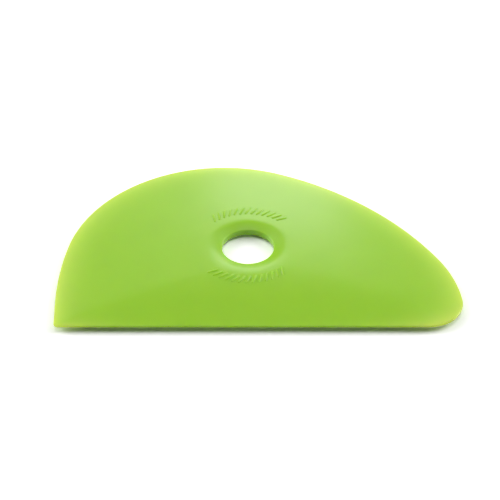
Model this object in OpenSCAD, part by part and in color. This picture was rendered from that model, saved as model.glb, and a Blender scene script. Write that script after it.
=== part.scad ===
// Large D-shaped throwing rib, cast in one piece of soft polymer.
// The origin is on the axis of the finger hole at mid thickness. +X runs along the
// straight working edge, +Y points at the curved working edge, and +Z is up.

/* [Blade] */
// Overall length, along the straight edge
rib_length = 158; // [120:1:200]
// Overall depth, from the straight edge to the top of the curved edge
rib_depth = 98; // [76:1:124]
// Thickness at the crown, before the resting flat is cut
crown_thickness = 5.6; // [4.6:0.1:8]
// Thickness of the rounded rim
rim_thickness = 1.2; // [0.8:0.1:2]
// Place of the crown's highest point, to the right of the hole's axis
crown_x = 2; // [-6:0.5:8]
// Place of the crown's highest point, in front of the hole's axis
crown_forward = 8; // [0:0.5:9]
// Depth of the flat that the underside rests on
rest_flat = 0.3; // [0.2:0.05:0.5]

/* [Straight edge] */
// Width at its middle of the bevel that thins the blade towards the straight edge
bevel_width = 21; // [15:1:32]
// How far past the straight edge the crown alone would reach
crown_overreach = 16; // [8:1:30]
// Share of their heights over which the bevel and the crown blend
bevel_blend = 0.15; // [0.05:0.01:0.25]

/* [Outline] */
// Outward lean of the left flank where it leaves the heel, degrees
flank_lean = 1.5; // [0.5:0.5:4]
// Radius of the left flank
flank_r = 148; // [125:1:176]
// Turn of the left flank, degrees
flank_turn = 13; // [11:0.5:15]
// Radius of the shoulder, which ends past the top of the curve
shoulder_r = 63; // [58:1:67]
// Turn of the shoulder, degrees
shoulder_turn = 100; // [98:0.5:102]
// Radius of the long slope down to the right
slope_r = 125; // [112:1:145]
// Turn of the long slope, degrees
slope_turn = 38.5; // [36:0.5:41]
// Radius of the right side above the toe
side_r = 58; // [44:1:70]
// Turn of the right side, degrees
side_turn = 24; // [20:0.5:28]
// Radius of the toe, at the right end of the straight edge
toe_r = 14; // [11:0.5:17]
// Radius of the heel, at the left end of the straight edge
heel_r = 1.8; // [1.4:0.1:3]

/* [Finger hole] */
// Diameter of the finger hole
hole_d = 20.7; // [16:0.1:26]
// Distance from the left end of the blade to the hole's axis
hole_from_left = 74.7; // [60:0.1:90]
// Distance from the straight edge to the hole's axis
hole_from_front = 45.8; // [38:0.1:56]
// Height of the hole's upright wall
wall_height = 2; // [1.6:0.1:2.6]
// Radius that rounds the wall over into the dish
lip_r = 0.45; // [0.3:0.05:0.7]
// Slope of the dish where it leaves the lip, degrees
dish_slope = 19.5; // [16:0.5:23]
// Radius that the dish levels out with
dish_bend_r = 24; // [18:1:30]
// Slope that the dish keeps from there on, degrees
dish_outer_slope = 6; // [4.5:0.5:8]

/* [Hidden] */

// Points along each stretch of the outline
flank_n = 5;
shoulder_n = 26;
slope_n = 16;
side_n = 7;
toe_n = 12;
front_n = 16;
heel_n = 5;

// Steps of the rounded rim, from the face to the rim's edge
rim_n = 3;
// Places of the rings between the crown and the rim, as shares of the way out
RINGS = [0.2, 0.36, 0.5, 0.63, 0.75, 0.87];
// Facets of a full turn of the hole, its lips and its dish
turn_fn = 96;
// Facets of a full circle of the dish's large bend
bend_fn = 384;
// Least height that a blend spans
least_blend = 0.01;
// Overrun that keeps cutters clear of the surface they cut
over = 1;

// Turns that close the outline
toe_turn = flank_lean + 270 - flank_turn - shoulder_turn - slope_turn - side_turn;
heel_turn = 90 - flank_lean;

// Last element of a list
function last(list) = list[len(list) - 1];

// Step from the start of a clockwise arc to where it has turned by turn degrees
function arc_step(heading, r, turn) =
    r * [sin(heading) - sin(heading - turn), cos(heading - turn) - cos(heading)];

// Points of a clockwise arc after its start
function arc_points(start, heading, r, turn, n) =
    [for (i = [1:n]) start + arc_step(heading, r, turn * i / n)];

// Headings at the starts of the arcs
flank_heading = 90 + flank_lean;
shoulder_heading = flank_heading - flank_turn;
slope_heading = shoulder_heading - shoulder_turn;
side_heading = slope_heading - slope_turn;
toe_heading = side_heading - side_turn;

// Straight run between the heel and the flank's arc, which closes the outline
arcs_rise = arc_step(flank_heading, flank_r, flank_turn)[1]
    + arc_step(shoulder_heading, shoulder_r, shoulder_turn)[1]
    + arc_step(slope_heading, slope_r, slope_turn)[1]
    + arc_step(side_heading, side_r, side_turn)[1]
    + arc_step(toe_heading, toe_r, toe_turn)[1];
heel_rise = arc_step(180, heel_r, heel_turn)[1];
flank_run = (-arcs_rise - heel_rise) / sin(flank_heading);

// Outline from the heel's top round to the heel, before it is fitted to the overall sizes
heel_top = [0, heel_rise];
flank_start = heel_top + flank_run * [cos(flank_heading), sin(flank_heading)];
flank = arc_points(flank_start, flank_heading, flank_r, flank_turn, flank_n);
shoulder = arc_points(last(flank), shoulder_heading, shoulder_r, shoulder_turn, shoulder_n);
slope = arc_points(last(shoulder), slope_heading, slope_r, slope_turn, slope_n);
side = arc_points(last(slope), side_heading, side_r, side_turn, side_n);
toe = arc_points(last(side), toe_heading, toe_r, toe_turn, toe_n);
heel_start = heel_top - arc_step(180, heel_r, heel_turn);
front = [for (i = [1:front_n]) last(toe) + (heel_start - last(toe)) * i / front_n];
heel = arc_points(heel_start, 180, heel_r, heel_turn, heel_n);
drawn = concat([flank_start], flank, shoulder, slope, side, toe, front, heel);

// Fit to the overall length and depth, with the hole's axis at the origin
drawn_left = min([for (p = drawn) p[0]]);
drawn_right = max([for (p = drawn) p[0]]);
drawn_top = max([for (p = drawn) p[1]]);
fit_x = rib_length / (drawn_right - drawn_left);
fit_y = rib_depth / drawn_top;
outline = [for (p = drawn)
    [(p[0] - drawn_left) * fit_x - hole_from_left, p[1] * fit_y - hole_from_front]];
count = len(outline);

// Outward unit normal at each outline point
function outward(i) =
    let (step = outline[(i + 1) % count] - outline[(i + count - 1) % count])
    [-step[1], step[0]] / norm(step);
normals = [for (i = [0:count - 1]) outward(i)];

// Where the faces meet the rounded rim
rim_r = rim_thickness / 2;
inner = [for (i = [0:count - 1]) outline[i] - rim_r * normals[i]];

// The crown swells from the rim by this much on each face
half_crown = crown_thickness / 2;
swell = half_crown - rim_r;
crown = [crown_x, -crown_forward];
front_y = rim_r - hole_from_front;

// The crown alone would end on this arc, which passes through the heel and the toe
toe_mid = len(concat([flank_start], flank, shoulder, slope, side)) + floor(toe_n / 2);
heel_mid = count - ceil(heel_n / 2);
chord = inner[heel_mid] - inner[toe_mid];
reach_r = (chord * chord / 4 + crown_overreach * crown_overreach) / (2 * crown_overreach);
chord_up = [chord[1], -chord[0]] / norm(chord);
reach_centre = (inner[heel_mid] + inner[toe_mid]) / 2 + (reach_r - crown_overreach) * chord_up;

// Distance from the crown to that arc in a unit direction
function reach(dir) =
    let (from = crown - reach_centre, along = from * dir)
    sqrt(along * along - from * from + reach_r * reach_r) - along;

// How far past each inner outline point the crown alone would reach, as a ratio
function overreach(i) =
    let (way = inner[i] - crown)
    i > toe_mid && i < heel_mid ? reach(way / norm(way)) / norm(way) : 1;
reaches = [for (i = [0:count - 1]) overreach(i)];

// Slope that gives the bevel its width at the middle
crown_to_front = crown[1] - front_y;
bevel_share = (crown_to_front - bevel_width) / reach([0, -1]);
bevel_slope = swell * (1 - bevel_share * bevel_share) / bevel_width;

// Lesser of two heights, blended where they are near each other
function blend_min(a, b) =
    let (width = max(bevel_blend * (a + b), least_blend))
    min(a, b) - pow(max(width - abs(a - b), 0), 2) / (4 * width);

// Point of the upper face at a share of the way from the crown to inner outline point i
function face_point(i, share) =
    let (
        p = crown + share * (inner[i] - crown),
        dome = swell * (1 - pow(share / reaches[i], 2)),
        bevel = bevel_slope * (p[1] - front_y)
    )
    [p[0], p[1], rim_r + max(0, blend_min(dome, bevel))];

// Point of the rounded rim, with angle 0 at its edge and 90 where it meets the upper face
function rim_point(i, angle) =
    let (p = inner[i] + rim_r * cos(angle) * normals[i])
    [p[0], p[1], rim_r * sin(angle)];

// Rings of the blade from its top, over the rim and back under to the bottom
upper_rings = [for (share = RINGS) [for (i = [0:count - 1]) face_point(i, share)]];
rim_rings = [for (k = [-rim_n:rim_n]) [for (i = [0:count - 1]) rim_point(i, -90 * k / rim_n)]];
lower_rings = [for (k = [len(RINGS) - 1:-1:0]) [for (p = upper_rings[k]) [p[0], p[1], -p[2]]]];
rings = concat(upper_rings, rim_rings, lower_rings);
ring_count = len(rings);

module blade_form() {
    points = concat(
        [for (ring = rings) each ring],
        [[crown[0], crown[1], half_crown], [crown[0], crown[1], -half_crown]]
    );
    top = ring_count * count;
    bottom = top + 1;
    last_ring = (ring_count - 1) * count;
    faces = concat(
        [for (i = [0:count - 1]) [top, i, (i + 1) % count]],
        [for (k = [0:ring_count - 2]) for (i = [0:count - 1])
            let (a = k * count + i, b = k * count + (i + 1) % count)
            each [[a, a + count, b], [b, a + count, b + count]]],
        [for (i = [0:count - 1]) [bottom, last_ring + (i + 1) % count, last_ring + i]]
    );
    polyhedron(points = points, faces = faces);
}

// Half section of what the finger hole and its upper dish take away
module hole_half_section() {
    hole_r = hole_d / 2;
    wall_top = wall_height / 2;
    top = half_crown + over;
    lip_centre = [hole_r + lip_r, wall_top];
    lip_end = lip_centre + lip_r * [-sin(dish_slope), cos(dish_slope)];
    lip_corner = [hole_r, lip_end[1] - (lip_end[0] - hole_r) * tan(dish_slope)];
    bend_centre = lip_end + dish_bend_r * [sin(dish_slope), -cos(dish_slope)];
    bend_end = bend_centre + dish_bend_r * [-sin(dish_outer_slope), cos(dish_outer_slope)];
    bend_tangent = dish_bend_r * tan((dish_slope - dish_outer_slope) / 2);
    bend_corner = lip_end + bend_tangent * [cos(dish_slope), sin(dish_slope)];
    far_r = bend_end[0] + (top - bend_end[1]) / tan(dish_outer_slope);
    polygon([[0, 0], [hole_r, 0], lip_corner, bend_corner, [far_r, top], [0, top]]);
    difference() {
        polygon([[hole_r - over, wall_top], [hole_r - over, lip_end[1]], lip_end, lip_centre]);
        translate(lip_centre) circle(lip_r, $fn = turn_fn);
    }
    difference() {
        polygon([lip_end, [lip_end[0], bend_end[1]], bend_end, bend_centre]);
        translate(bend_centre) circle(dish_bend_r, $fn = bend_fn);
    }
}

module hole_cut() {
    rotate_extrude($fn = turn_fn) {
        hole_half_section();
        mirror([0, 1]) hole_half_section();
    }
}

module rest_cut() {
    rest_z = half_crown - rest_flat;
    translate([-rib_length, -rib_depth, -rest_z - crown_thickness])
        cube([2 * rib_length, 2 * rib_depth, crown_thickness]);
}

module rib_blade() {
    color([0.6, 0.81, 0.33])
    difference() {
        blade_form();
        hole_cut();
        rest_cut();
    }
}

rib_blade();
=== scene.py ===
"""The looks of a large D-shaped pottery rib, cast in one piece of soft polyurethane.

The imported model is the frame. Its origin is on the finger hole's axis, +X runs along the
straight working edge, +Y points at the curved working edge and +Z is up. The classes keep
their sizes in millimetres and degrees, and the meshes are in metres.
"""

from __future__ import annotations

import logging
import math
from dataclasses import dataclass, field
from enum import Enum
from functools import cached_property
from typing import Any

import bpy
import numpy as np
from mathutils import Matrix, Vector


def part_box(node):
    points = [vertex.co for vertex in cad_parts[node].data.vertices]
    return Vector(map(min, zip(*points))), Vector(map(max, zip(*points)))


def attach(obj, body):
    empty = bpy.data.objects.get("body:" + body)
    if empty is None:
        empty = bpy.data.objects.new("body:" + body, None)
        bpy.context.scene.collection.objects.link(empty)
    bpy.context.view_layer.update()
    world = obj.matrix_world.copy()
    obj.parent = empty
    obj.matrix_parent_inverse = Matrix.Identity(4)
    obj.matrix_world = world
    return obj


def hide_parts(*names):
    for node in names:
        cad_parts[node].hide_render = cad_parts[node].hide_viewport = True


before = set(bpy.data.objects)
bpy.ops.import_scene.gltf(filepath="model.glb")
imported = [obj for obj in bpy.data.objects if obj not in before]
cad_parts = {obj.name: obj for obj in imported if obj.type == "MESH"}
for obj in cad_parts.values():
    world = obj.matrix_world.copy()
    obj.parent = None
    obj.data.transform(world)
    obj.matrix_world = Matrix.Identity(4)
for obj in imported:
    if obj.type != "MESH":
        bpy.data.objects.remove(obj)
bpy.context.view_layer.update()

MM = 0.001
BODY = "root"
BLADE_NODE = "rib_blade"
PICTURE_SIDE = 500
OUT_ATTRIBUTE = "way_out"

# A panel with these two goes up to the zenith and all the way round
ZENITH = (89.8, 89.9)
ALL_ROUND = (179.0, 180.0)

log = logging.getLogger("pottery_rib")


class Face(Enum):
    """The two broad faces of the blade. The value is the sign of the face's height."""

    UPPER = 1
    LOWER = -1


def linear(hex_colour: str) -> tuple[float, float, float, float]:
    """Turns an sRGB hex colour into linear red, green, blue and alpha.

    Args:
        hex_colour: The colour, such as "#8FC63C".

    Returns:
        Linear values from 0 to 1, with an alpha of 1.
    """
    shares = [int(hex_colour[i : i + 2], 16) / 255 for i in (1, 3, 5)]
    red, green, blue = [s / 12.92 if s <= 0.04045 else ((s + 0.055) / 1.055) ** 2.4 for s in shares]
    return red, green, blue, 1.0


def add_node(
    tree: bpy.types.NodeTree,
    kind: str,
    inputs: dict[str | int, Any] | None = None,
    **settings: Any,
) -> bpy.types.Node:
    """Adds a node to a tree, sets it and fills or links its inputs.

    Args:
        tree: The tree that gets the node.
        kind: The node's type.
        inputs: A value or another node's output for each input, by its name or number.
        settings: The node's own properties.

    Returns:
        The new node.
    """
    node = tree.nodes.new(kind)
    for name, value in settings.items():
        setattr(node, name, value)
    for key, value in (inputs or {}).items():
        socket = node.inputs[key]
        if isinstance(value, bpy.types.NodeSocket):
            tree.links.new(value, socket)
        else:
            socket.default_value = value
    return node


def math_result(
    tree: bpy.types.NodeTree, operation: str, *values: bpy.types.NodeSocket | float
) -> bpy.types.NodeSocket:
    """Adds a Math node.

    Args:
        tree: The tree that gets the node.
        operation: What it works out.
        values: A value or another node's output for each of its inputs, in order.

    Returns:
        Its result.
    """
    node = add_node(tree, "ShaderNodeMath", dict(enumerate(values)), operation=operation)
    return node.outputs["Value"]


def vector_result(
    tree: bpy.types.NodeTree,
    x: bpy.types.NodeSocket | float = 0.0,
    y: bpy.types.NodeSocket | float = 0.0,
    z: bpy.types.NodeSocket | float = 0.0,
) -> bpy.types.NodeSocket:
    """Adds a node that joins three numbers into a vector.

    Args:
        tree: The tree that gets the node.
        x: A value or another node's output.
        y: Another.
        z: Another.

    Returns:
        The vector.
    """
    return add_node(tree, "ShaderNodeCombineXYZ", {"X": x, "Y": y, "Z": z}).outputs["Vector"]


def blend_min(a: np.ndarray, b: np.ndarray, width: float | np.ndarray) -> np.ndarray:
    """Lesser of two heights, blended where they are within a width of each other.

    Args:
        a: Heights.
        b: Other heights.
        width: Difference below which the two blend.

    Returns:
        The blended heights.
    """
    return np.minimum(a, b) - np.maximum(width - np.abs(a - b), 0.0) ** 2 / (4 * width)


@dataclass(frozen=True)
class Arc:
    """A stretch of the outline that turns clockwise.

    Attributes:
        radius: Its radius in millimetres.
        turn: How far it turns, in degrees.
    """

    radius: float
    turn: float

    def steps(self, heading: float, shares: np.ndarray) -> np.ndarray:
        """Steps from the arc's start to points along it.

        Args:
            heading: Heading at the start, in degrees from +X.
            shares: How far along the arc each point is, from 0 to 1.

        Returns:
            One row of x and y for each share.
        """
        start = math.radians(heading)
        end = start - np.radians(self.turn) * shares
        across = np.stack([math.sin(start) - np.sin(end), np.cos(end) - math.cos(start)], axis=-1)
        return self.radius * across


@dataclass(frozen=True)
class Outline:
    """Plan of the rib: a D of five tangent arcs, closed by a straight edge and a small heel.

    Attributes:
        flank_lean: Outward lean of the left flank where it leaves the heel.
        flank: Left flank.
        shoulder: High left shoulder, which ends past the top of the curve.
        slope: Long slope down to the right.
        side: Right side above the toe.
        toe_radius: Radius of the toe, at the right end of the straight edge.
        heel_radius: Radius of the heel, at its left end.
        spacing: Greatest distance between neighbouring points.
        turn_spacing: Greatest turn between neighbouring points.
    """

    flank_lean: float = 1.5
    flank: Arc = Arc(148.0, 13.0)
    shoulder: Arc = Arc(63.0, 100.0)
    slope: Arc = Arc(125.0, 38.5)
    side: Arc = Arc(58.0, 24.0)
    toe_radius: float = 14.0
    heel_radius: float = 1.8
    spacing: float = 1.15
    turn_spacing: float = 6.0

    def shares(self, length: float, turn: float) -> np.ndarray:
        """Even shares along a stretch, without its start, close enough for its length and turn."""
        count = math.ceil(length / self.spacing + turn / self.turn_spacing)
        return np.arange(1, count + 1) / count

    def drawn(self) -> tuple[np.ndarray, dict[str, int]]:
        """Walks round the outline clockwise from where the left flank's arc starts.

        Returns:
            The points, and the numbers of the points in the middle of the toe and heel.
        """
        upper = (self.flank, self.shoulder, self.slope, self.side)
        toe = Arc(self.toe_radius, self.flank_lean + 270 - sum(arc.turn for arc in upper))
        heel = Arc(self.heel_radius, 90 - self.flank_lean)
        heading = first_heading = 90 + self.flank_lean
        place = np.zeros(2)
        stretches: list[np.ndarray] = []
        for arc in (*upper, toe):
            shares = self.shares(arc.radius * math.radians(arc.turn), arc.turn)
            stretches.append(place + arc.steps(heading, shares))
            place = stretches[-1][-1]
            heading -= arc.turn
        toe_end = place
        heel_step = heel.steps(heading, np.array([1.0]))[0]
        rise = math.sin(math.radians(first_heading))
        lean = math.cos(math.radians(first_heading))
        flank_run = (-toe_end[1] - heel_step[1]) / rise
        heel_end = -flank_run * np.array([lean, rise])
        heel_start = heel_end - heel_step
        front_shares = self.shares(toe_end[0] - heel_start[0], 0)
        stretches.append(toe_end + front_shares[:, None] * (heel_start - toe_end))
        heel_shares = self.shares(0, heel.turn)
        stretches.append(heel_start + heel.steps(heading, heel_shares))
        run_shares = self.shares(flank_run, 0)
        stretches.append(heel_end * (1 - run_shares[:, None]))
        ends = np.cumsum([len(stretch) for stretch in stretches])
        toe_number = len(upper)
        heel_number = toe_number + 2
        middles = {
            name: int(ends[number - 1] + ends[number]) // 2
            for name, number in (("toe", toe_number), ("heel", heel_number))
        }
        return np.concatenate(stretches), middles

    def fitted(self, low: Vector, high: Vector) -> tuple[np.ndarray, dict[str, int]]:
        """The outline stretched to the frame's box.

        Args:
            low: Lowest corner of the node's box, in metres.
            high: Highest corner.

        Returns:
            The points in millimetres, and the numbers of the middles of the toe and heel.
        """
        drawn, middles = self.drawn()
        start = np.array(low[:2]) / MM
        size = np.array(high[:2]) / MM - start
        least = drawn.min(axis=0)
        return start + (drawn - least) / (drawn.max(axis=0) - least) * size, middles


def outward_normals(points: np.ndarray) -> np.ndarray:
    """Outward unit normals of a closed clockwise outline, one for each point."""
    step = np.roll(points, -1, axis=0) - np.roll(points, 1, axis=0)
    return np.stack([-step[:, 1], step[:, 0]], axis=-1) / np.linalg.norm(step, axis=1, keepdims=True)


@dataclass
class CrownedForm:
    """Heights of the blade's faces over its plan.

    Each face swells from a thin rounded rim to a crown just in front of the hole. A bevel
    thins it towards the straight edge, and a shallow dish runs round the hole.

    Attributes:
        outline: The plan.
        crown_thickness: Thickness at the crown, before the resting flat is cut.
        rim_thickness: Thickness of the rounded rim.
        crown: Place of the crown's highest point.
        bevel_width: Width of the bevel at its middle.
        crown_overreach: How far past the straight edge the crown alone would reach.
        bevel_blend: Share of their heights over which the bevel and the crown blend.
        least_blend: Least height that this blend spans.
        hole_radius: Radius of the finger hole.
        wall_height: Height of the hole's upright wall.
        lip_radius: Radius that rounds the wall over into the dish.
        dish_slope: Slope of the dish where it leaves the lip, in degrees.
        dish_bend: Radius that the dish levels out with.
        outer_slope: Slope that it keeps from there on, in degrees.
        crease_blend: Height over which the dish blends into the face.
        reach_softening: Angle over which the crown's reach is evened out, in degrees.
        angle_step: Angle between the ways along which that reach is measured, in degrees.
    """

    outline: Outline = field(default_factory=Outline)
    crown_thickness: float = 5.6
    rim_thickness: float = 1.2
    crown: tuple[float, float] = (2.0, -8.0)
    bevel_width: float = 21.0
    crown_overreach: float = 16.0
    bevel_blend: float = 0.15
    least_blend: float = 0.01
    hole_radius: float = 10.35
    wall_height: float = 2.0
    lip_radius: float = 0.45
    dish_slope: float = 19.5
    dish_bend: float = 24.0
    outer_slope: float = 6.0
    crease_blend: float = 0.3
    reach_softening: float = 8.0
    angle_step: float = 0.25

    def __post_init__(self) -> None:
        """Fits the outline to the frame and works out what the heights depend on."""
        low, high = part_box(BLADE_NODE)
        self.rest = -low[2] / MM
        self.edge, middles = self.outline.fitted(low, high)
        self.normals = outward_normals(self.edge)
        self.rim_radius = self.rim_thickness / 2
        self.inner = self.edge - self.rim_radius * self.normals
        self.swell = self.crown_thickness / 2 - self.rim_radius
        self.front = self.rim_radius + float(self.edge[:, 1].min())
        self.measure_reach(self.inner[middles["toe"]], self.inner[middles["heel"]])

    def measure_reach(self, toe: np.ndarray, heel: np.ndarray) -> None:
        """Works out how far the crown reaches at each angle, and the bevel's slope.

        Over the curved edge the crown ends at the rim. Over the straight edge it would end
        on an arc beyond it, through the middles of the toe and heel.

        Args:
            toe: Middle of the toe, where the rim starts.
            heel: Middle of the heel, where the rim starts.
        """
        sagitta = self.crown_overreach
        chord = heel - toe
        radius = (chord @ chord / 4 + sagitta**2) / (2 * sagitta)
        upward = np.array([chord[1], -chord[0]]) / np.linalg.norm(chord)
        centre = (heel + toe) / 2 + (radius - sagitta) * upward
        ways = self.inner - np.array(self.crown)
        angles = np.arctan2(ways[:, 1], ways[:, 0])
        order = np.argsort(angles)
        self.angles = np.radians(np.arange(-180.0, 180.0, self.angle_step))
        self.rim_distance = np.interp(
            self.angles, angles[order], np.linalg.norm(ways, axis=1)[order], period=2 * np.pi
        )
        unit = np.stack([np.cos(self.angles), np.sin(self.angles)], axis=-1)
        start = np.array(self.crown) - centre
        along = unit @ start
        arc_distance = np.sqrt(along**2 - start @ start + radius**2) - along
        toe_angle, heel_angle = (math.atan2(*(p - np.array(self.crown))[::-1]) for p in (toe, heel))
        in_front = (self.angles < toe_angle) & (self.angles > heel_angle)
        ratio = np.where(in_front, arc_distance / self.rim_distance, 1.0)
        self.reach_ratio = self.evened(ratio)
        middle = int(np.argmin(np.abs(self.angles + np.pi / 2)))
        share = (self.crown[1] - self.front - self.bevel_width) / arc_distance[middle]
        self.bevel_slope = self.swell * (1 - share**2) / self.bevel_width

    def evened(self, values: np.ndarray) -> np.ndarray:
        """Values round a full turn, evened out so that no ray shows as a crease."""
        steps = round(self.reach_softening / self.angle_step)
        window = np.hanning(steps + 2)[1:-1]
        padded = np.concatenate([values[-steps:], values, values[:steps]])
        return np.convolve(padded, window / window.sum(), "same")[steps:-steps]

    def way_out(self, places: np.ndarray) -> np.ndarray:
        """How far out places lie, from 0 at the crown to 1 where the crown alone would end."""
        ways = places - np.array(self.crown)
        angles = np.arctan2(ways[..., 1], ways[..., 0])
        rim = np.interp(angles, self.angles, self.rim_distance, period=2 * np.pi)
        ratio = np.interp(angles, self.angles, self.reach_ratio, period=2 * np.pi)
        return np.linalg.norm(ways, axis=-1) / (rim * ratio)

    def face_height(self, places: np.ndarray) -> np.ndarray:
        """Height of a face above the middle plane, without the dish.

        Args:
            places: Rows of x and y.

        Returns:
            One height for each row.
        """
        dome = self.swell * (1 - self.way_out(places) ** 2)
        bevel = self.bevel_slope * (places[..., 1] - self.front)
        width = np.maximum(self.bevel_blend * (dome + bevel), self.least_blend)
        return self.rim_radius + np.maximum(blend_min(dome, bevel, width), 0)

    @cached_property
    def lip_end(self) -> tuple[float, float]:
        """Radius and height at which the rounded lip runs into the dish."""
        slope = math.radians(self.dish_slope)
        radius = self.hole_radius + self.lip_radius * (1 - math.sin(slope))
        return radius, self.wall_height / 2 + self.lip_radius * math.cos(slope)

    def dish_height(self, radii: np.ndarray) -> np.ndarray:
        """Height of the dish at distances from the hole's axis, outside its lip."""
        radius, height = self.lip_end
        inner, outer = math.radians(self.dish_slope), math.radians(self.outer_slope)
        centre = radius + self.dish_bend * math.sin(inner)
        centre_height = height - self.dish_bend * math.cos(inner)
        bend_end = centre - self.dish_bend * math.sin(outer)
        bent = centre_height + np.sqrt(self.dish_bend**2 - (centre - np.minimum(radii, bend_end)) ** 2)
        return bent + math.tan(outer) * np.maximum(radii - bend_end, 0)


@dataclass
class Blade:
    """The whole rib: one closed casting.

    Attributes:
        form: Its heights.
        dish_reach: Radius that the dish's fine rings go out to.
        dish_rings: Rings from the lip to there, on the upper and the lower face.
        face_rings: Rings from there to the rim, on the upper and the lower face.
        rim_steps: Steps round the rim.
        lip_steps: Steps over each lip.
        wall_steps: Steps up the hole's wall.
        rest_blend: Height over which the lower face blends into the resting flat.
    """

    form: CrownedForm = field(default_factory=CrownedForm)
    dish_reach: float = 19.0
    dish_rings: dict[Face, int] = field(default_factory=lambda: {Face.UPPER: 40, Face.LOWER: 16})
    face_rings: dict[Face, int] = field(default_factory=lambda: {Face.UPPER: 44, Face.LOWER: 26})
    rim_steps: int = 14
    lip_steps: int = 8
    wall_steps: int = 4
    rest_blend: float = 0.03

    def spokes(self) -> np.ndarray:
        """Unit directions from the hole's axis to the points where the rim starts."""
        return self.form.inner / np.linalg.norm(self.form.inner, axis=1, keepdims=True)

    def round_ring(self, radius: float, height: float) -> np.ndarray:
        """A level ring about the hole's axis."""
        spokes = self.spokes()
        return np.column_stack([radius * spokes, np.full(len(spokes), height)])

    def face_ring(self, face: Face, places: np.ndarray) -> np.ndarray:
        """A ring that lies on a face or its dish.

        Args:
            face: Which face.
            places: Rows of x and y.

        Returns:
            Rows of x, y and z.
        """
        form = self.form
        dish = form.dish_height(np.linalg.norm(places, axis=1))
        height = blend_min(form.face_height(places), dish, form.crease_blend)
        if face is Face.LOWER:
            height = blend_min(height, np.full(len(height), form.rest), self.rest_blend)
        return np.column_stack([places, face.value * height])

    def face_rings_outward(self, face: Face) -> list[np.ndarray]:
        """Rings of a face, from just outside the lip to where the rim starts."""
        spokes = self.spokes()
        lip = self.form.lip_end[0]
        radii = np.linspace(lip, self.dish_reach, self.dish_rings[face] + 1)
        places = [radius * spokes for radius in radii]
        count = self.face_rings[face]
        start = places[-1]
        places += [start + (self.form.inner - start) * k / count for k in range(1, count + 1)]
        return [self.face_ring(face, ring) for ring in places]

    def lip_rings(self, face: Face) -> list[np.ndarray]:
        """Rings over a lip, from the end of the wall to the start of the dish, without either."""
        form = self.form
        turn = math.radians(90 - form.dish_slope)
        angles = [turn * k / self.lip_steps for k in range(1, self.lip_steps)]
        centre = form.hole_radius + form.lip_radius
        return [
            self.round_ring(
                centre - form.lip_radius * math.cos(angle),
                face.value * (form.wall_height / 2 + form.lip_radius * math.sin(angle)),
            )
            for angle in angles
        ]

    def rim_rings(self, top: np.ndarray) -> list[np.ndarray]:
        """Rings round the rim, from the upper face down to the lower one, without either.

        Args:
            top: Ring where the upper face meets the rim.

        Returns:
            The rings in order.
        """
        form = self.form
        rings = []
        for k in range(1, self.rim_steps):
            angle = math.pi * (0.5 - k / self.rim_steps)
            places = form.inner + form.rim_radius * math.cos(angle) * form.normals
            rings.append(np.column_stack([places, top[:, 2] * math.sin(angle)]))
        return rings

    def rings(self) -> np.ndarray:
        """All rings, once round a section: up the wall, out over the top and back underneath."""
        form = self.form
        half_wall = form.wall_height / 2
        heights = np.linspace(-half_wall, half_wall, self.wall_steps + 1)
        wall = [self.round_ring(form.hole_radius, height) for height in heights]
        upper = self.face_rings_outward(Face.UPPER)
        lower = self.face_rings_outward(Face.LOWER)
        rings = wall + self.lip_rings(Face.UPPER) + upper + self.rim_rings(upper[-1])
        rings += lower[::-1] + self.lip_rings(Face.LOWER)[::-1]
        return np.stack(rings) * MM

    def mesh(self, name: str) -> bpy.types.Mesh:
        """Makes the closed mesh.

        Args:
            name: The mesh's name.

        Returns:
            The mesh, with its faces outwards.
        """
        rings = self.rings()
        ring_count, spoke_count = rings.shape[:2]
        ring, spoke = np.meshgrid(np.arange(ring_count), np.arange(spoke_count), indexing="ij")
        next_ring = (ring + 1) % ring_count
        next_spoke = (spoke + 1) % spoke_count
        corners = [(ring, spoke), (ring, next_spoke), (next_ring, next_spoke), (next_ring, spoke)]
        quads = np.stack([r * spoke_count + s for r, s in corners], axis=-1).reshape(-1, 4)
        mesh = bpy.data.meshes.new(name)
        mesh.from_pydata(rings.reshape(-1, 3).tolist(), [], quads.tolist())
        mesh.validate()
        return mesh

    def mark_way_out(self, mesh: bpy.types.Mesh) -> None:
        """Stores how far out each point lies: 0 at the crown and 1 at the curved rim."""
        # The material reads this to place the rim's paler tint, its painted glow and its scuffs.
        places = np.empty(len(mesh.vertices) * 3)
        mesh.vertices.foreach_get("co", places)
        out = self.form.way_out(places.reshape(-1, 3)[:, :2] / MM)
        attribute = mesh.attributes.new(OUT_ATTRIBUTE, "FLOAT", "POINT")
        attribute.data.foreach_set("value", np.clip(out, 0, 1))


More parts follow.
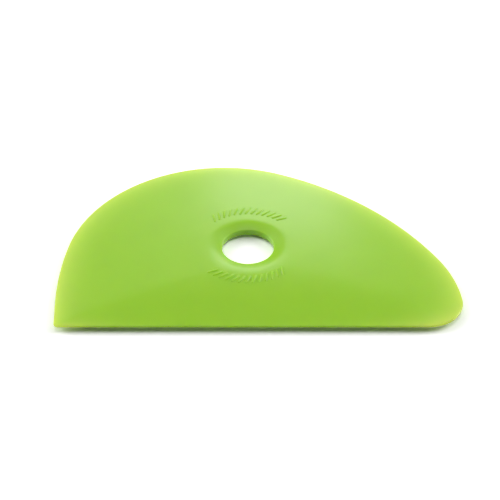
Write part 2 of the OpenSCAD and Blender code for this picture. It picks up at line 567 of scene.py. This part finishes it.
@dataclass(frozen=True)
class GripBars:
    """Two arcs of fine raised bars on the upper face, behind and in front of the hole.

    Attributes:
        per_arc: Bars in each arc.
        span: Angle that an arc spans.
        radius: Distance of the bars' middles from the hole's axis.
        length: Length of a bar.
        width: Width of a bar.
        rise: Height of a bar above the face.
        sunk: Depth of a bar's widest part below the face.
        lean: Angle between a bar and the way out from the hole.
        start_height: Height that the bars drop from onto the face.
        sides: Facets round a bar.
        end_steps: Steps along a bar's rounded ends, an odd number.
    """

    per_arc: int = 13
    span: float = 80.0
    radius: float = 21.2
    length: float = 4.8
    width: float = 1.1
    rise: float = 0.3
    sunk: float = 0.06
    lean: float = 28.0
    start_height: float = 6.0
    sides: int = 14
    end_steps: int = 7

    def inputs(self) -> dict[str, float]:
        """Named inputs of the tree, in metres and radians."""
        return {
            "Bars per arc": self.per_arc,
            "Arc span": math.radians(self.span),
            "Radius": self.radius * MM,
            "Bar length": self.length * MM,
            "Bar width": self.width * MM,
            "Bar rise": self.rise * MM,
            "Bar sunk": self.sunk * MM,
            "Bar lean": math.radians(self.lean),
            "Start height": self.start_height * MM,
        }

    def bar(self, tree: bpy.types.NodeTree, given: bpy.types.Node) -> bpy.types.NodeSocket:
        """Adds the nodes of one bar: a rounded rod along X, flattened to its height.

        Args:
            tree: The tree.
            given: The tree's Group Input node.

        Returns:
            The bar's geometry.
        """
        ball = add_node(
            tree,
            "GeometryNodeMeshUVSphere",
            {"Segments": self.sides, "Rings": self.end_steps, "Radius": 1.0},
        )
        lying = add_node(
            tree,
            "GeometryNodeTransform",
            {"Geometry": ball.outputs[0], "Rotation": (0, math.pi / 2, 0)},
        )
        width = given.outputs["Bar width"]
        half_width = math_result(tree, "MULTIPLY", width, 0.5)
        height = math_result(tree, "ADD", given.outputs["Bar rise"], given.outputs["Bar sunk"])
        size = vector_result(tree, half_width, half_width, height)
        flat = add_node(
            tree, "GeometryNodeTransform", {"Geometry": lying.outputs[0], "Scale": size}
        )
        place = add_node(tree, "GeometryNodeInputPosition")
        parts = add_node(tree, "ShaderNodeSeparateXYZ", {"Vector": place.outputs[0]})
        end = math_result(tree, "SIGN", parts.outputs["X"])
        straight = math_result(tree, "SUBTRACT", given.outputs["Bar length"], width)
        run = math_result(tree, "MULTIPLY", straight, 0.5)
        offset = vector_result(tree, math_result(tree, "MULTIPLY", end, run))
        drawn_out = add_node(
            tree, "GeometryNodeSetPosition", {"Geometry": flat.outputs[0], "Offset": offset}
        )
        return drawn_out.outputs[0]

    def places(
        self, tree: bpy.types.NodeTree, given: bpy.types.Node
    ) -> tuple[bpy.types.NodeSocket, bpy.types.NodeSocket]:
        """Adds the nodes that set a point on the face for each bar, and turn the bars.

        Args:
            tree: The tree.
            given: The tree's Group Input node.

        Returns:
            The points, and the bars' rotation.
        """
        per_arc = given.outputs["Bars per arc"]
        count = math_result(tree, "MULTIPLY", per_arc, 2.0)
        index = add_node(tree, "GeometryNodeInputIndex").outputs[0]
        arc = math_result(tree, "FLOOR", math_result(tree, "DIVIDE", index, per_arc))
        step = math_result(tree, "MODULO", index, per_arc)
        along = math_result(tree, "DIVIDE", step, math_result(tree, "SUBTRACT", per_arc, 1.0))
        centred = math_result(tree, "SUBTRACT", along, 0.5)
        swing = math_result(tree, "MULTIPLY", centred, given.outputs["Arc span"])
        behind = math_result(tree, "ADD", swing, math.pi / 2)
        angle = math_result(tree, "MULTIPLY_ADD", arc, math.pi, behind)
        cosine = math_result(tree, "COSINE", angle)
        sine = math_result(tree, "SINE", angle)
        out = add_node(
            tree,
            "ShaderNodeVectorMath",
            {0: vector_result(tree, cosine, sine), "Scale": given.outputs["Radius"]},
            operation="SCALE",
        )
        lift = vector_result(tree, z=given.outputs["Start height"])
        start = add_node(
            tree, "ShaderNodeVectorMath", {0: out.outputs[0], 1: lift}, operation="ADD"
        )
        drop = add_node(
            tree,
            "GeometryNodeRaycast",
            {
                "Target Geometry": given.outputs["Geometry"],
                "Source Position": start.outputs[0],
                "Ray Direction": (0, 0, -1),
                "Ray Length": given.outputs["Start height"],
            },
        )
        deep = math_result(tree, "MULTIPLY", given.outputs["Bar sunk"], -1.0)
        sink = add_node(
            tree,
            "ShaderNodeVectorMath",
            {0: drop.outputs["Hit Normal"], "Scale": deep},
            operation="SCALE",
        )
        seat = add_node(
            tree,
            "ShaderNodeVectorMath",
            {0: drop.outputs["Hit Position"], 1: sink.outputs[0]},
            operation="ADD",
        )
        points = add_node(tree, "GeometryNodePoints", {"Count": count, "Position": seat.outputs[0]})
        turn = math_result(tree, "SUBTRACT", angle, given.outputs["Bar lean"])
        level = add_node(tree, "FunctionNodeEulerToRotation", {"Euler": vector_result(tree, z=turn)})
        tilted = add_node(
            tree,
            "FunctionNodeAlignRotationToVector",
            {"Rotation": level.outputs[0], "Vector": drop.outputs["Hit Normal"]},
            axis="Z",
        )
        return points.outputs[0], tilted.outputs[0]

    def tree(self, material: bpy.types.Material) -> bpy.types.NodeTree:
        """Builds the tree that fuses the bars with a blade.

        Args:
            material: The blade's material.

        Returns:
            The tree.
        """
        tree = bpy.data.node_groups.new("grip_bars", "GeometryNodeTree")
        tree.interface.new_socket("Geometry", in_out="INPUT", socket_type="NodeSocketGeometry")
        tree.interface.new_socket("Geometry", in_out="OUTPUT", socket_type="NodeSocketGeometry")
        for name, value in self.inputs().items():
            kind = "NodeSocketInt" if isinstance(value, int) else "NodeSocketFloat"
            tree.interface.new_socket(name, in_out="INPUT", socket_type=kind)
        given = add_node(tree, "NodeGroupInput")
        points, rotation = self.places(tree, given)
        bars = add_node(
            tree,
            "GeometryNodeInstanceOnPoints",
            {"Points": points, "Instance": self.bar(tree, given), "Rotation": rotation},
        )
        real = add_node(tree, "GeometryNodeRealizeInstances", {"Geometry": bars.outputs[0]})
        fused = add_node(
            tree,
            "GeometryNodeMeshBoolean",
            {"Mesh 2": real.outputs[0]},
            operation="UNION",
            solver="MANIFOLD",
        )
        tree.links.new(given.outputs["Geometry"], fused.inputs["Mesh 2"])
        whole = add_node(tree, "GeometryNodeRealizeInstances", {"Geometry": fused.outputs[0]})
        dressed = add_node(
            tree, "GeometryNodeSetMaterial", {"Geometry": whole.outputs[0], "Material": material}
        )
        add_node(tree, "NodeGroupOutput", {"Geometry": dressed.outputs[0]})
        return tree

    def fuse(self, blade: bpy.types.Object, material: bpy.types.Material) -> None:
        """Fuses the bars with a blade and leaves it a plain mesh.

        Args:
            blade: The blade's object.
            material: The blade's material.
        """
        modifier = blade.modifiers.new("grip_bars", "NODES")
        modifier.node_group = self.tree(material)
        values = self.inputs()
        for item in modifier.node_group.interface.items_tree:
            if item.in_out == "INPUT" and item.name in values:
                modifier[item.identifier] = values[item.name]
        evaluated = blade.evaluated_get(bpy.context.evaluated_depsgraph_get())
        blade.data = bpy.data.meshes.new_from_object(evaluated)
        blade.modifiers.remove(modifier)


@dataclass(frozen=True)
class CastPolyurethane:
    """Soft polyurethane cast in a satin mould.

    It gives the eye a yellow-green body under a broad soft sheen. Towards the curved rim its
    base colour turns paler and yellower: partly the polymer's own tint where it is thinner,
    and partly a painted glow that stands in for light passing through the thinning rim.

    Attributes:
        core: Colour where the blade is thick.
        thin_tint_and_glow: Colour at the curved rim: the polymer's paler tint there, with a painted glow
            standing in for light that passes through the rim.
        glow_and_scuff_power: How closely that colour, with its painted glow, and the rim's scuffs keep to
            the rim.
        cloud: How much lighter and darker the pigment's clouds are.
        cloud_size: Size of a cloud in millimetres.
        roughness: Roughness of the satin skin.
        scuffed: Roughness where the rim is scuffed by use.
        scuff_size: Size of a scuffed patch in millimetres.
        ripple_size: Width of the skin's slow ripples in millimetres.
        ripple_depth: Their depth in millimetres.
        grain_size: Width of the mould's satin grain, drawn coarser than real so that it shows.
        grain_depth: Its depth in millimetres.
        ior: Index of refraction of polyurethane.
        walk: How far red, green and blue light wander inside, in millimetres.
    """

    core: str = "#A1D534"
    thin_tint_and_glow: str = "#CDEE60"
    glow_and_scuff_power: float = 14.0
    cloud: float = 0.03
    cloud_size: float = 14.0
    roughness: float = 0.28
    scuffed: float = 0.38
    scuff_size: float = 3.5
    ripple_size: float = 9.0
    ripple_depth: float = 0.02
    grain_size: float = 0.5
    grain_depth: float = 0.004
    ior: float = 1.5
    walk: tuple[float, float, float] = (3.2, 3.2, 1.0)

    def noise(
        self, tree: bpy.types.NodeTree, place: bpy.types.NodeSocket, size: float, detail: float
    ) -> bpy.types.NodeSocket:
        """Adds a noise whose patches have a real size.

        Args:
            tree: The material's tree.
            place: Object coordinates.
            size: Size of a patch in millimetres.
            detail: Number of finer layers.

        Returns:
            The noise's value, from 0 to 1.
        """
        settings = {"Vector": place, "Scale": 1 / (size * MM), "Detail": detail}
        return add_node(tree, "ShaderNodeTexNoise", settings).outputs["Fac"]

    def material(self) -> bpy.types.Material:
        """Builds the material."""
        material = bpy.data.materials.new("cast_polyurethane")
        material.use_nodes = True
        tree = material.node_tree
        tree.nodes.clear()
        place = add_node(tree, "ShaderNodeTexCoord").outputs["Object"]
        out = add_node(tree, "ShaderNodeAttribute", attribute_name=OUT_ATTRIBUTE).outputs["Fac"]
        # Mask that keeps to the curved rim. It places the rim's paler tint with its painted glow, and the
        # scuffs.
        rim = math_result(tree, "POWER", out, self.glow_and_scuff_power)
        # Base colour, from the core colour to the rim's paler tint with its painted glow, which stands in
        # for light passing through the rim.
        body = add_node(
            tree,
            "ShaderNodeMix",
            {"Factor": rim, "A": linear(self.core), "B": linear(self.thin_tint_and_glow)},
            data_type="RGBA",
        ).outputs["Result"]
        cloud = add_node(
            tree,
            "ShaderNodeMapRange",
            {
                "Value": self.noise(tree, place, self.cloud_size, detail=2.0),
                "To Min": 1 - self.cloud,
                "To Max": 1 + self.cloud,
            },
        ).outputs["Result"]
        colour = add_node(
            tree, "ShaderNodeVectorMath", {0: body, "Scale": cloud}, operation="SCALE"
        ).outputs["Vector"]
        scuff = self.noise(tree, place, self.scuff_size, detail=4.0)
        rough = add_node(
            tree,
            "ShaderNodeMapRange",
            {
                "Value": math_result(tree, "MULTIPLY", scuff, rim),
                "To Min": self.roughness,
                "To Max": self.scuffed,
            },
        ).outputs["Result"]
        ripple = add_node(
            tree,
            "ShaderNodeBump",
            {
                "Strength": 1.0,
                "Distance": self.ripple_depth * MM,
                "Height": self.noise(tree, place, self.ripple_size, detail=1.0),
            },
        ).outputs[0]
        grain = add_node(
            tree,
            "ShaderNodeBump",
            {
                "Strength": 1.0,
                "Distance": self.grain_depth * MM,
                "Height": self.noise(tree, place, self.grain_size, detail=3.0),
                "Normal": ripple,
            },
        ).outputs[0]
        skin = add_node(
            tree,
            "ShaderNodeBsdfPrincipled",
            {
                "Base Color": colour,
                "Roughness": rough,
                "IOR": self.ior,
                "Normal": grain,
                "Subsurface Weight": 1.0,
                "Subsurface Radius": self.walk,
                "Subsurface Scale": MM,
            },
        )
        add_node(tree, "ShaderNodeOutputMaterial", {"Surface": skin.outputs[0]})
        return material


@dataclass
class PotteryRib:
    """The rib as a finished piece.

    Attributes:
        blade: Its form.
        bars: The raised bars in its upper face.
        finish: Its material.
        sharp_angle: Angle between faces above which an edge shows sharp.
    """

    blade: Blade = field(default_factory=Blade)
    bars: GripBars = field(default_factory=GripBars)
    finish: CastPolyurethane = field(default_factory=CastPolyurethane)
    sharp_angle: float = 35.0

    def build(self) -> bpy.types.Object:
        """Makes the piece, dresses it and lets it stand for its CAD node.

        Returns:
            The piece.
        """
        material = self.finish.material()
        piece = bpy.data.objects.new("rib_body", self.blade.mesh("rib_body"))
        bpy.context.scene.collection.objects.link(piece)
        self.bars.fuse(piece, material)
        piece.data.name = "rib_body"
        piece.data.shade_smooth()
        piece.data.set_sharp_from_angle(angle=math.radians(self.sharp_angle))
        self.blade.mark_way_out(piece.data)
        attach(piece, BODY)
        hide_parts(BLADE_NODE)
        return piece


@dataclass(frozen=True)
class Viewpoint:
    """The camera, where the photograph's camera stood.

    Attributes:
        elevation: Angle that it looks down at.
        distance: Its distance from the aim, in millimetres.
        focal_pixels: Focal length, in pixels of the picture.
        aim: Where the picture's centre would be on the rib without the two shifts.
        aside: How far the camera is moved to the right from there, in millimetres.
        lowered: How far it is moved down across its view, in millimetres.
        sensor: Sensor width in millimetres.
        seen_from: Distance from which it sees, in metres.
        seen_to: Distance up to which it sees, in metres.
    """

    elevation: float = 40.5
    distance: float = 800.0
    focal_pixels: float = 2007.5
    aim: tuple[float, float, float] = (0.0, 0.0, 1.5)
    aside: float = 0.857
    lowered: float = 1.495
    sensor: float = 36.0
    seen_from: float = 0.01
    seen_to: float = 50.0

    def build(self) -> bpy.types.Object:
        """Makes the camera and sets it as the scene's own.

        Returns:
            The camera.
        """
        angle = math.radians(self.elevation)
        forward = Vector((0, math.cos(angle), -math.sin(angle)))
        upward = Vector((0, math.sin(angle), math.cos(angle)))
        place = Vector(self.aim) - self.distance * forward - self.lowered * upward
        place.x += self.aside
        data = bpy.data.cameras.new("camera")
        data.sensor_width = self.sensor
        data.lens = self.focal_pixels * self.sensor / PICTURE_SIDE
        data.clip_start = self.seen_from
        data.clip_end = self.seen_to
        camera = bpy.data.objects.new("camera", data)
        camera.location = place * MM
        camera.rotation_euler = (math.pi / 2 - angle, 0, 0)
        bpy.context.scene.collection.objects.link(camera)
        bpy.context.scene.camera = camera
        return camera


@dataclass(frozen=True)
class Panel:
    """A soft box that lights the rib from far away. Its angles are in degrees.

    Attributes:
        strength: Its strength.
        azimuth: Direction of its middle, to the right of +Y.
        foot: Elevations between which it sets in.
        head: Elevations between which it fades.
        sides: Angles to either side of its middle between which it fades.
    """

    strength: float
    azimuth: float
    foot: tuple[float, float]
    head: tuple[float, float]
    sides: tuple[float, float]


@dataclass(frozen=True)
class SoftLight:
    """A small soft light that stands low and close behind the rib.

    Attributes:
        place: Where it stands, in millimetres.
        aim: The point that it faces.
        side: Side of its square face.
        power: Its power in watts.
    """

    place: tuple[float, float, float] = (20.0, 235.0, 120.0)
    aim: tuple[float, float, float] = (0.0, 20.0, 0.0)
    side: float = 84.0
    power: float = 0.062

    def build(self) -> bpy.types.Object:
        """Makes the light, which the camera doesn't see.

        Returns:
            The light.
        """
        data = bpy.data.lights.new("low_soft_light", "AREA")
        data.size = self.side * MM
        data.energy = self.power
        light = bpy.data.objects.new("low_soft_light", data)
        light.location = Vector(self.place) * MM
        light.rotation_euler = (Vector(self.aim) - Vector(self.place)).to_track_quat("-Z", "Y").to_euler()
        light.visible_camera = False
        bpy.context.scene.collection.objects.link(light)
        return light


@dataclass(frozen=True)
class Studio:
    """A white table in a dim room, lit by strips, a screen, a ceiling and a low soft light.

    Attributes:
        floor_side: Side of the floor in metres.
        floor_colour: Its colour.
        floor_exposed: How bright the floor looks to the camera, above white so that it clears.
        room: Strength of the room's own light.
        panels: The soft boxes.
        low_light: The low soft light.
    """

    floor_side: float = 40.0
    floor_colour: str = "#F4F4F4"
    floor_exposed: float = 1.4
    room: float = 0.02
    panels: tuple[Panel, ...] = (
        # Strong strips at the left and right
        Panel(6.6, -70.0, (4.0, 14.0), (22.0, 66.0), (5.0, 26.0)),
        Panel(6.2, 70.0, (4.0, 14.0), (22.0, 66.0), (5.0, 26.0)),
        # Fainter boxes between them, higher up
        Panel(1.2, -36.0, (30.0, 42.0), (54.0, 66.0), (8.0, 26.0)),
        Panel(1.2, 36.0, (30.0, 42.0), (54.0, 66.0), (8.0, 26.0)),
        # Screen straight behind, which shows as sheen on the crown
        Panel(2.2, 0.0, (26.0, 32.0), (36.0, 44.0), (5.0, 12.0)),
        # Ceiling
        Panel(2.2, 0.0, (66.0, 80.0), ZENITH, ALL_ROUND),
        # Faint fill from the camera's side
        Panel(0.2, 180.0, (2.0, 8.0), (30.0, 45.0), (30.0, 70.0)),
    )
    low_light: SoftLight = field(default_factory=SoftLight)

    def fade(
        self,
        tree: bpy.types.NodeTree,
        value: bpy.types.NodeSocket,
        zero_at: float,
        one_at: float,
    ) -> bpy.types.NodeSocket:
        """Adds a smooth step from 0 to 1.

        Args:
            tree: The world's tree.
            value: What the step follows.
            zero_at: Value where it is 0.
            one_at: Value where it is 1.

        Returns:
            The step.
        """
        falling = zero_at > one_at
        node = add_node(
            tree,
            "ShaderNodeMapRange",
            {
                "Value": value,
                "From Min": min(zero_at, one_at),
                "From Max": max(zero_at, one_at),
                "To Min": float(falling),
                "To Max": float(not falling),
            },
            interpolation_type="SMOOTHSTEP",
        )
        return node.outputs["Result"]

    def glow(
        self,
        tree: bpy.types.NodeTree,
        height: bpy.types.NodeSocket,
        level_way: bpy.types.NodeSocket,
        panel: Panel,
    ) -> bpy.types.NodeSocket:
        """Adds a soft box.

        Args:
            tree: The world's tree.
            height: Height of the direction looked in.
            level_way: That direction's level part, with a length of 1.
            panel: The soft box.

        Returns:
            Its share of full strength in that direction.
        """
        foot = [math.sin(math.radians(angle)) for angle in panel.foot]
        head = [math.sin(math.radians(angle)) for angle in panel.head]
        sides = [math.cos(math.radians(angle)) for angle in panel.sides]
        middle = math.radians(panel.azimuth)
        towards = add_node(
            tree,
            "ShaderNodeVectorMath",
            {0: level_way, 1: (math.sin(middle), math.cos(middle), 0.0)},
            operation="DOT_PRODUCT",
        ).outputs["Value"]
        below = self.fade(tree, height, foot[0], foot[1])
        above = self.fade(tree, height, head[1], head[0])
        beside = self.fade(tree, towards, sides[1], sides[0])
        return math_result(tree, "MULTIPLY", math_result(tree, "MULTIPLY", below, above), beside)

    def world(self) -> bpy.types.World:
        """Makes the room's light, which the camera sees as plain white."""
        world = bpy.data.worlds.new("room")
        world.use_nodes = True
        tree = world.node_tree
        tree.nodes.clear()
        way = add_node(tree, "ShaderNodeTexCoord").outputs["Object"]
        parts = add_node(tree, "ShaderNodeSeparateXYZ", {"Vector": way})
        level = vector_result(tree, parts.outputs["X"], parts.outputs["Y"])
        level_way = add_node(
            tree, "ShaderNodeVectorMath", {0: level}, operation="NORMALIZE"
        ).outputs["Vector"]
        total: bpy.types.NodeSocket | float = self.room
        for panel in self.panels:
            glow = self.glow(tree, parts.outputs["Z"], level_way, panel)
            total = math_result(tree, "MULTIPLY_ADD", glow, panel.strength, total)
        seen = add_node(tree, "ShaderNodeLightPath").outputs["Is Camera Ray"]
        strength = add_node(
            tree, "ShaderNodeMix", {"Factor": seen, "A": total, "B": 1.0}, data_type="FLOAT"
        ).outputs["Result"]
        light = add_node(tree, "ShaderNodeBackground", {"Color": (1, 1, 1, 1), "Strength": strength})
        add_node(tree, "ShaderNodeOutputWorld", {"Surface": light.outputs[0]})
        return world

    def floor_material(self) -> bpy.types.Material:
        """White matt card, which gives the eye a plain ground and the rib's soft shadow."""
        material = bpy.data.materials.new("matt_white_card")
        material.use_nodes = True
        tree = material.node_tree
        tree.nodes.clear()
        path = add_node(tree, "ShaderNodeLightPath")
        seen = path.outputs["Is Camera Ray"]
        for kind in ("Is Glossy Ray", "Is Transmission Ray"):
            seen = math_result(tree, "MAXIMUM", seen, path.outputs[kind])
        exposed = (self.floor_exposed, self.floor_exposed, self.floor_exposed, 1.0)
        colour = add_node(
            tree,
            "ShaderNodeMix",
            {"Factor": seen, "A": linear(self.floor_colour), "B": exposed},
            data_type="RGBA",
        ).outputs["Result"]
        card = add_node(tree, "ShaderNodeBsdfDiffuse", {"Color": colour, "Roughness": 0.0})
        add_node(tree, "ShaderNodeOutputMaterial", {"Surface": card.outputs[0]})
        return material

    def build(self) -> bpy.types.Object:
        """Makes the floor, the room's light and the low light.

        Returns:
            The floor.
        """
        half = self.floor_side / 2
        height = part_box(BLADE_NODE)[0][2]
        signs = ((-1, -1), (1, -1), (1, 1), (-1, 1))
        corners = [(x * half, y * half, height) for x, y in signs]
        mesh = bpy.data.meshes.new("floor")
        mesh.from_pydata(corners, [], [(0, 1, 2, 3)])
        mesh.materials.append(self.floor_material())
        floor = bpy.data.objects.new("floor", mesh)
        scene = bpy.context.scene
        scene.collection.objects.link(floor)
        scene.world = self.world()
        self.low_light.build()
        scene.view_settings.view_transform = "Standard"
        return floor


def main() -> None:
    """Builds the camera, the rib and the studio, and reports each."""
    logging.basicConfig(level=logging.INFO, format="%(name)s: %(message)s")
    Viewpoint().build()
    log.info("camera in place")
    piece = PotteryRib().build()
    log.info("%s: %d points, %d faces", piece.name, len(piece.data.vertices), len(piece.data.polygons))
    floor = Studio().build()
    log.info("%s at %.2f mm", floor.name, floor.data.vertices[0].co.z / MM)


if __name__ == "__main__":
    main()
